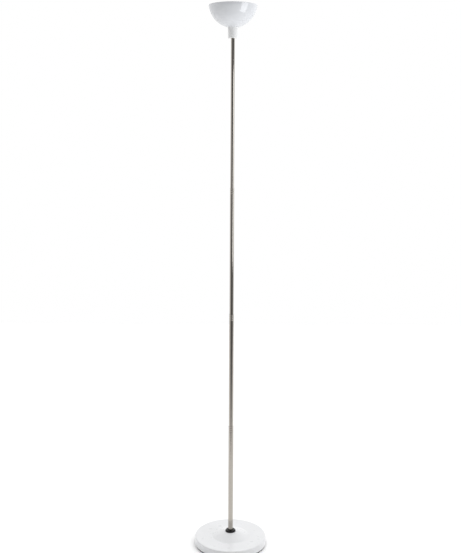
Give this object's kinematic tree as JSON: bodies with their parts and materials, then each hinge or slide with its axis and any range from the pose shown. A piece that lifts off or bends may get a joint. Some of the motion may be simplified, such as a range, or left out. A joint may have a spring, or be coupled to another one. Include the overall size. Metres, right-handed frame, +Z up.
{
  "type": "torchiere floor lamp",
  "caption": "Torchiere floor lamp: round weighted base, slim telescoping steel pole and a small white bowl shade that opens upwards.",
  "frame": {"origin": "centre of the base's footprint, on the floor", "axes": "+Z up along the pole; +Y towards the cord gland at the back; +X to the right seen from the front"},
  "size_m": [0.251, 0.251, 1.7995],
  "materials": {
    "white_base": "satin",
    "white_cup": "gloss",
    "white_shade": "gloss",
    "nickel_steel": "polished",
    "zinc_steel": "satin",
    "black_plastic": "gloss",
    "black_matte": "matte",
    "black_rubber": "matte",
    "concrete": "matte",
    "white_nylon": "satin",
    "holder_plastic": "satin",
    "brass": "satin",
    "lead_sheath": "satin",
    "opal_globe": "satin"
  },
  "bodies": {
    "base": {"base_cover": "white_base", "cord_gland": "black_plastic", "base_weight": "concrete", "bottom_plate": "black_matte", "foot_ring": "black_rubber", "plate_screws": "zinc_steel", "terminal_block": "white_nylon", "terminal_screws": "brass", "pole_stud": "zinc_steel", "stud_washer": "zinc_steel", "stud_nut": "zinc_steel", "foot_insert": "zinc_steel", "pole_collar": "black_plastic", "pole_tube_1": "nickel_steel", "lead_1": "lead_sheath"},
    "sleeve_2": {"expander_sleeve_2": "white_nylon"},
    "section_2": {"pole_tube_2": "nickel_steel", "lock_plug_2": "zinc_steel", "lead_2": "lead_sheath"},
    "sleeve_3": {"expander_sleeve_3": "white_nylon"},
    "section_3": {"pole_tube_3": "nickel_steel", "lock_plug_3": "zinc_steel", "lead_3": "lead_sheath"},
    "sleeve_4": {"expander_sleeve_4": "white_nylon"},
    "head": {"pole_tube_4": "nickel_steel", "lock_plug_4": "zinc_steel", "lead_4": "lead_sheath", "top_insert": "zinc_steel", "holder_nipple": "zinc_steel", "nipple_nut": "zinc_steel", "socket_cup": "white_cup", "holder_body": "holder_plastic", "holder_core": "holder_plastic", "contact_rivets": "brass", "screw_shell": "brass", "contact_tongue": "brass", "shade_bowl": "white_shade"},
    "shade_ring": {"shade_ring": "holder_plastic"},
    "bulb_tip": {"bulb_contact": "zinc_steel"},
    "bulb": {"bulb_insulator": "black_plastic", "bulb_cap": "nickel_steel", "bulb_collar": "white_cup", "bulb_globe": "opal_globe"}
  },
  "joints": [
    {"name": "section_2_slide", "type": "slide", "parent": "base", "child": "sleeve_2", "axis": [0, 0, 1], "range_m": [-0.31, 0], "deforming": ["lead_1"]},
    {"name": "section_2_twist", "type": "hinge", "parent": "sleeve_2", "child": "section_2", "pos_m": [0, 0, 0.4], "axis": [0, 0, 1], "range_deg": [0, 180]},
    {"name": "section_3_slide", "type": "slide", "parent": "section_2", "child": "sleeve_3", "axis": [0, 0, 1], "range_m": [-0.35, 0], "deforming": ["lead_2"]},
    {"name": "section_3_twist", "type": "hinge", "parent": "sleeve_3", "child": "section_3", "pos_m": [0, 0, 0.8], "axis": [0, 0, 1], "range_deg": [0, 180]},
    {"name": "section_4_slide", "type": "slide", "parent": "section_3", "child": "sleeve_4", "axis": [0, 0, 1], "range_m": [-0.37, 0], "deforming": ["lead_3"]},
    {"name": "section_4_twist", "type": "hinge", "parent": "sleeve_4", "child": "head", "pos_m": [0, 0, 1.2], "axis": [0, 0, 1], "range_deg": [0, 180]},
    {"name": "shade_ring_turn", "type": "hinge", "parent": "head", "child": "shade_ring", "pos_m": [0, 0, 1.74], "axis": [0, 0, 1], "range_deg": [0, 1080]},
    {"name": "bulb_rise", "type": "slide", "parent": "head", "child": "bulb_tip", "axis": [0, 0, 1], "range_m": [0, 0.0115]},
    {"name": "bulb_unscrew", "type": "hinge", "parent": "bulb_tip", "child": "bulb", "pos_m": [0, 0, 1.72], "axis": [0, 0, 1], "range_deg": [0, 1440]}
  ],
  "couplings": [
    {"joint": "bulb_rise", "follows": "bulb_unscrew", "m_per_rad": 0.00044882}
  ]
}
